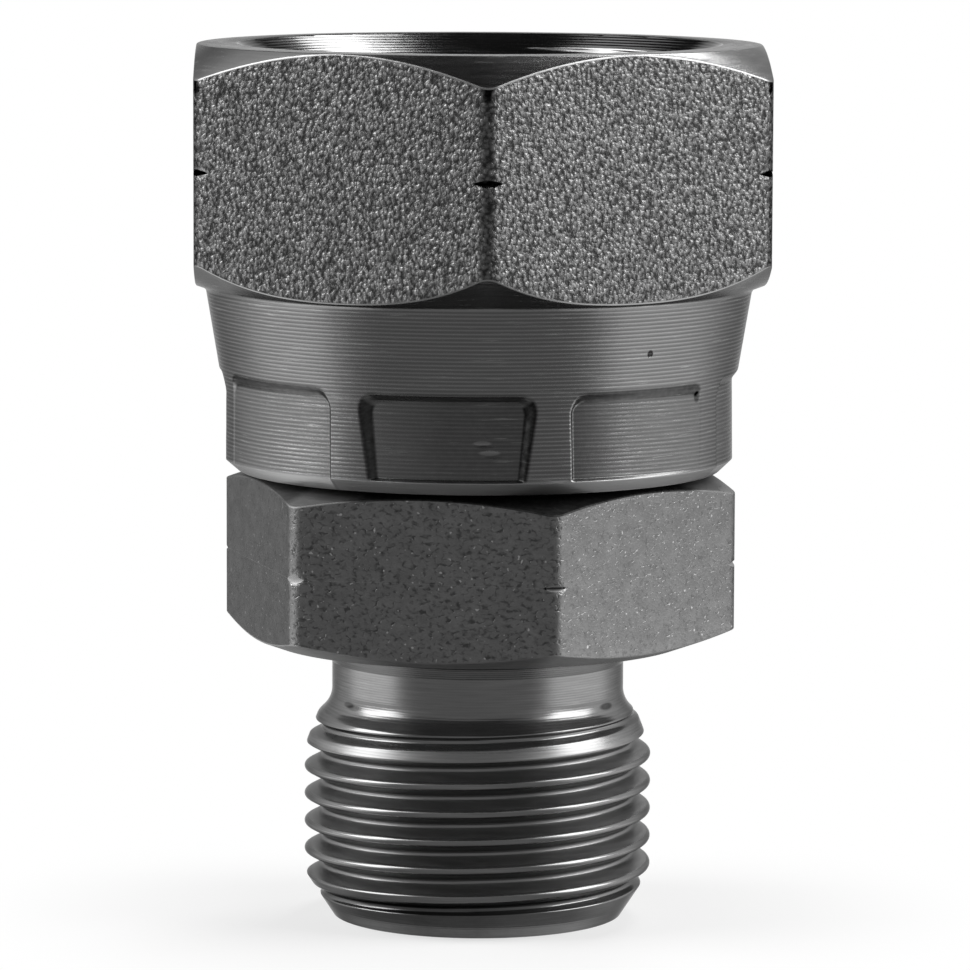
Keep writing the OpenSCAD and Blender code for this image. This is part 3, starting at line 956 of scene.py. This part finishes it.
def turned_steel(name, dark, pale, ring_pitch, ring_depth, ring_tone, rough, rings=EVERYWHERE, marks=()):
    """Plated steel with the scalloped rings of a lathe tool between two heights, and streaks along them. Its
    colour also takes painted shade, painted glints and a painted lift of light in dull places.
    """
    s = Shader(name)
    here = s.here()
    x, y, z = s.add("ShaderNodeSeparateXYZ", {"Vector": here}).outputs
    radius = s.math("SQRT", s.plus(s.times(x, x), s.times(y, y)))
    along = s.plus(z, s.times(radius, 0.2))
    streak_place = s.add("ShaderNodeCombineXYZ", {0: x, 1: y, 2: s.times(along, 22.0)}).outputs[0]
    streaks = s.noise(streak_place, 420, detail=4.0, roughness=0.65)
    cloud = s.noise(here, 230, detail=3.0)
    specks = s.noise(here, 3800, detail=2.0)
    wall = s.kept("wall")
    dull_and_painted_light = s.kept("dull_and_painted_light")

    sway = s.times(s.noise(here, 90, detail=1.0), 0.15 * ring_pitch * MM)
    turns = s.times(s.plus(along, sway), math.pi / (ring_pitch * MM))
    scallop = s.math("ABSOLUTE", s.math("SINE", turns))
    inside = s.minus(s.window(z, rings[0] * MM, (rings[0] + 0.15) * MM),
                     s.window(z, (rings[1] - 0.15) * MM, rings[1] * MM))
    fade = s.plus(s.times(cloud, 1.2), s.times(s.kept("worn"), -0.3))
    fade = s.plus(fade, s.times(wall, -0.9))
    fade = s.times(s.plus(fade, 0.4, clamp=True), inside)
    rings_cut = s.times(scallop, fade)

    height = s.plus(s.times(rings_cut, -1.0), s.times(streaks, 0.9))
    height = s.plus(height, s.times(specks, 0.25))
    tone = s.plus(s.times(streaks, 0.65), s.times(cloud, 0.35))
    tone = s.plus(s.times(tone, 1 - ring_tone), s.times(rings_cut, -ring_tone))
    tone = s.plus(tone, ring_tone * 0.9)
    # Painted shade kept on the mesh
    painted_shade = s.kept("painted_shade")
    # Marks add dark spots, and lighter and darker lines of painted light and shade on the middle pad's bulge
    for azimuth, at_radius, at_height, size, darkening, raised in marks:
        spot = s.mark(here, azimuth, at_radius, at_height, size)
        painted_shade = s.plus(painted_shade, s.times(spot, darkening), clamp=True)
        height = s.plus(height, s.times(spot, raised))
    painted_shade = s.times(painted_shade, s.plus(s.times(specks, 0.3), 0.85), clamp=True)
    # Painted glints: lighter dashes along the streaks
    glints = s.window(streaks, 0.6, 0.72)

    colour = s.ramp(tone, (0.25, dark), (0.75, pale))
    colour = s.darker(colour, painted_shade)
    colour = s.lighter(colour, s.times(glints, 0.2 * ring_tone))
    # Painted light: dull places are lifted a little in colour
    colour = s.lighter(colour, s.times(dull_and_painted_light, 0.08))
    roughness = s.plus(s.times(streaks, 0.2), rough - 0.1)
    roughness = s.plus(roughness, s.times(wall, 0.12))
    roughness = s.plus(roughness, s.times(dull_and_painted_light, 0.35))
    return s.finish(colour, roughness, s.bump(height, ring_depth * MM))


def ring_rubber(name):
    """Satin black rubber."""
    s = Shader(name)
    fine = s.noise(s.place(), 2500, detail=3.0)
    colour = s.ramp(fine, (0.3, 0.012), (0.7, 0.022))
    return s.finish(colour, 0.42, s.bump(fine, 0.004 * MM), metallic=0.0)


def around_view(azimuth, distance, height):
    """A point round the part, with its azimuth counted from the camera's side, to the right."""
    a = math.radians(VIEW_AZIMUTH + azimuth)
    return Vector((math.sin(a) * distance, -math.cos(a) * distance, height)) * MM


def make_camera():
    """The camera as fitted to the photograph."""
    data = bpy.data.cameras.new("photo_camera")
    data.sensor_width = SENSOR_WIDTH
    data.lens = FOCAL_PIXELS * SENSOR_WIDTH / PICTURE_PIXELS
    data.clip_start = CAMERA_NEAR * MM
    data.clip_end = CAMERA_FAR * MM
    camera = bpy.data.objects.new("photo_camera", data)
    turn = Matrix.Rotation(math.radians(VIEW_AZIMUTH), 4, "Z")
    place = turn @ Vector((CAMERA_SIDE, -CAMERA_DISTANCE, CAMERA_HEIGHT)) * MM
    tilt = Matrix.Rotation(math.radians(90 - CAMERA_PITCH), 4, "X")
    roll = Matrix.Rotation(math.radians(CAMERA_ROLL), 4, "Z")
    camera.matrix_world = Matrix.Translation(place) @ turn @ tilt @ roll
    bpy.context.scene.collection.objects.link(camera)
    bpy.context.scene.camera = camera


def make_world():
    """White where the camera, metal or glass sees it, and a softer fill for everything else."""
    world = bpy.data.worlds.new("studio")
    bpy.context.scene.world = world
    world.use_nodes = True
    world.node_tree.nodes.clear()
    nodes = Nodes(world.node_tree)
    fill = nodes.add("ShaderNodeBackground", {"Color": (1, 1, 1, 1), "Strength": WORLD_FILL}).outputs[0]
    white = nodes.add("ShaderNodeBackground", {"Color": (1, 1, 1, 1), "Strength": 1.0}).outputs[0]
    mix = nodes.add("ShaderNodeMixShader", {0: nodes.seen(), 1: fill, 2: white}).outputs[0]
    nodes.add("ShaderNodeOutputWorld", {"Surface": mix})
    world.cycles.sampling_method = "NONE"


def make_floor():
    """Pale floor that keeps the part's shadow, and turns to plain white away from the part."""
    half = FLOOR_HALF * MM
    mesh = bpy.data.meshes.new("floor")
    corners = [(-half, -half, 0), (half, -half, 0), (half, half, 0), (-half, half, 0)]
    mesh.from_pydata(corners, [], [(0, 1, 2, 3)])
    floor = bpy.data.objects.new("floor", mesh)
    bpy.context.scene.collection.objects.link(floor)
    s = Shader("floor_paint")
    mesh.materials.append(s.finish((FLOOR_GREY, FLOOR_GREY, FLOOR_GREY, 1), FLOOR_ROUGH, metallic=0.0))
    s.surface.inputs["Specular IOR Level"].default_value = 0.0
    far = s.add("ShaderNodeMapRange", {
        "Value": s.length(s.here()), "From Min": FLOOR_WHITE_FROM * MM, "From Max": FLOOR_WHITE_TO * MM,
        "To Min": FLOOR_WHITE_NEAR, "To Max": 1.0,
    }, interpolation_type="SMOOTHSTEP").outputs[0]
    white = s.add("ShaderNodeEmission", {"Color": (1, 1, 1, 1), "Strength": 1.0}).outputs[0]
    mix = s.add("ShaderNodeMixShader", {0: s.times(s.seen(), far), 1: s.surface.outputs[0], 2: white})
    s.show(mix.outputs[0])


def make_card(name, middle, half_angle, feather, outline, grey):
    """A card swept round the part from its outline. Only reflections show it, and its ends fade out."""
    points, faces, cover = [], [], []
    rows = len(outline)
    for a in np.linspace(-half_angle - feather, half_angle + feather, CARD_COLUMNS):
        inside = 1.0 if feather == 0 else (half_angle + feather - abs(a)) / (2 * feather)
        share = min(max(inside, 0), 1)
        for radius, height in outline:
            points.append(tuple(around_view(middle + a, radius, height)))
            cover.append(share * share * (3 - 2 * share))
    for i in range(CARD_COLUMNS - 1):
        for j in range(rows - 1):
            k = i * rows + j
            faces.append((k, k + rows, k + rows + 1, k + 1))
    mesh = bpy.data.meshes.new(name)
    mesh.from_pydata(points, [], faces)
    mesh.attributes.new("cover", "FLOAT", "POINT").data.foreach_set("value", cover)
    s = Shader(name + "_painted_reflection")
    clear = s.add("ShaderNodeBsdfTransparent").outputs[0]
    glow = s.add("ShaderNodeEmission", {"Color": (grey, grey, grey, 1), "Strength": 1.0}).outputs[0]
    s.show(s.add("ShaderNodeMixShader", {0: s.kept("cover"), 1: clear, 2: glow}).outputs[0])
    mesh.materials.append(s.material)
    card = bpy.data.objects.new(name, mesh)
    card.visible_camera = False
    card.visible_diffuse = False
    card.visible_shadow = False
    card.visible_transmission = False
    bpy.context.scene.collection.objects.link(card)


def soft_box(name, azimuth, distance, height, width, tall, radiance):
    """A rectangular lamp aimed at the middle of the part."""
    data = bpy.data.lights.new(name, "AREA")
    data.shape = "RECTANGLE"
    data.size = width * MM
    data.size_y = tall * MM
    data.energy = radiance * math.pi * data.size * data.size_y
    lamp = bpy.data.objects.new(name, data)
    lamp.location = around_view(azimuth, distance, height)
    aim = Vector((0, 0, NUT_TOP / 2 * MM)) - lamp.location
    lamp.rotation_mode = "QUATERNION"
    lamp.rotation_quaternion = aim.to_track_quat("-Z", "Y")
    bpy.context.scene.collection.objects.link(lamp)


def make_studio():
    """Floor, world, lamps, and cards round the part that show only as painted reflections: dark ones in
    front, above and behind, and glowing ones at the sides.
    """
    bpy.context.scene.view_settings.view_transform = "Standard"
    make_world()
    make_floor()
    make_card("front_card", -5, 59, 17, FLOOR_TO_WALL, FRONT_GREY)
    make_card("left_reflection_glow", -89, 24, 8, LOW_STRIP, LEFT_REFLECTION_GLOW)
    make_card("right_reflection_glow", 86, 30, 8, LOW_STRIP, RIGHT_REFLECTION_GLOW)
    make_card("roof_card", 0, 180, 0, ROOF, ROOF_GREY)
    make_card("back_card", 183.5, 15.5, 4, BACK_WALL, ROOF_GREY)
    soft_box("left_box", azimuth=-85, distance=426, height=319, width=345, tall=420, radiance=4.5)
    soft_box("right_box", azimuth=81.5, distance=426, height=319, width=345, tall=420, radiance=4.5)
    soft_box("back_box", azimuth=158, distance=353, height=395, width=150, tall=150, radiance=10.5)


make_camera()
make_studio()

nut = make_nut(
    turned=turned_steel("nut_turned_steel", dark=0.15, pale=0.28, ring_pitch=0.19, ring_depth=0.012,
                        ring_tone=0.5, rough=0.24, rings=(COLLAR_LOW, NUT_HEX_LOW), marks=SKIRT_MARKS),
    flat=grained_steel("nut_flat_steel", pit=0.06, dark=0.15, pale=0.28, grain=0.19, depth=0.045, rough=0.28),
    inside=turned_steel("nut_inside_steel", dark=0.19, pale=0.28, ring_pitch=0.16, ring_depth=0.006,
                        ring_tone=0.3, rough=0.13),
)
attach(nut, "nut")
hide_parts("swivel_nut")

body = make_body(
    turned=turned_steel("body_turned_steel", dark=0.25, pale=0.38, ring_pitch=0.2, ring_depth=0.004,
                        ring_tone=0.1, rough=0.6),
    flat=pitted_steel("body_flat_steel", tone=0.19, pit=0.26, depth=0.014, rough=0.3),
    stud=turned_steel("stud_steel", dark=0.17, pale=0.28, ring_pitch=0.12, ring_depth=0.002,
                      ring_tone=0.1, rough=0.2, marks=STUD_MARKS),
)
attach(body, "adapter")
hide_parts("adapter_body")

ring = make_ring(ring_rubber("ring_rubber"))
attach(ring, "adapter")
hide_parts("nose_o_ring")
